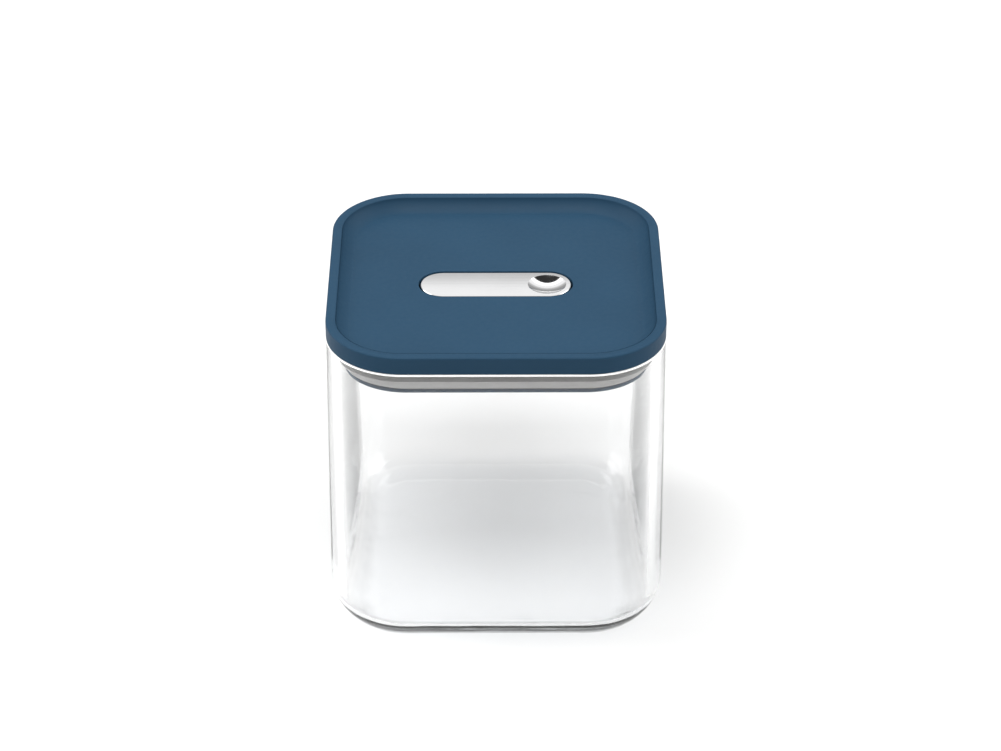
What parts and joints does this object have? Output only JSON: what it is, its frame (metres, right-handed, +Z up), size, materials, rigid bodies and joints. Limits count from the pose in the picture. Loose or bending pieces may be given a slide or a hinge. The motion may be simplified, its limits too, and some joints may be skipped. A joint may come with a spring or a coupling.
{
  "type": "lidded glass canister",
  "caption": "Square glass storage canister with round corners and a press lid worked by a flush tilting steel lever.",
  "frame": {"origin": "middle of the flat underside of the base", "axes": "+Z up out of the jar's mouth, X along the lever with its thumb dimple at +X, front face towards -Y"},
  "size_m": [0.1318, 0.1318, 0.1344],
  "materials": {
    "clear_glass": "clear, polished, faint green tint in the thick base",
    "navy_plastic": "satin moulded",
    "dark_plastic": "fine moulded texture",
    "grey_silicone": "soft matt, slightly milky",
    "black_rubber": "matt",
    "zinc_steel": "zinc plated",
    "spring_steel": "bright drawn",
    "polished_steel": "polished stainless, very faint lengthwise brushing"
  },
  "bodies": {
    "jar": {"glass_jar": "clear_glass"},
    "lid": {"lid_shell": "navy_plastic", "lid_core": "dark_plastic", "lever_well": "dark_plastic", "well_seal": "grey_silicone", "gasket": "grey_silicone", "wear_plate": "zinc_steel", "catch_clip": "spring_steel", "stem_seal": "black_rubber", "return_spring": "spring_steel", "core_screw_back_right": "zinc_steel", "core_screw_back_left": "zinc_steel", "core_screw_front_left": "zinc_steel", "core_screw_front_right": "zinc_steel"},
    "drive": {"stem": "zinc_steel", "compression_plate": "navy_plastic", "stem_washer": "zinc_steel", "stem_screw": "zinc_steel", "hub_cap": "navy_plastic"},
    "lever": {"lever_plate": "polished_steel", "lever_carrier": "dark_plastic", "hinge_pin": "zinc_steel"}
  },
  "joints": [
    {"name": "lid_lift", "type": "slide", "parent": "jar", "child": "lid", "axis": [0, 0, 1], "range_m": [0, 0.12]},
    {"name": "stem_drop", "type": "slide", "parent": "lid", "child": "drive", "axis": [0, 0, -1], "range_m": [0, 0.002], "deforming": ["return_spring"]},
    {"name": "lever_tilt", "type": "hinge", "parent": "drive", "child": "lever", "pos_m": [0, 0, 0.124], "axis": [0, 1, 0], "range_deg": [0, 20]}
  ],
  "couplings": [
    {"joint": "lever_tilt", "follows": "stem_drop", "rad_per_m": 174.53}
  ]
}
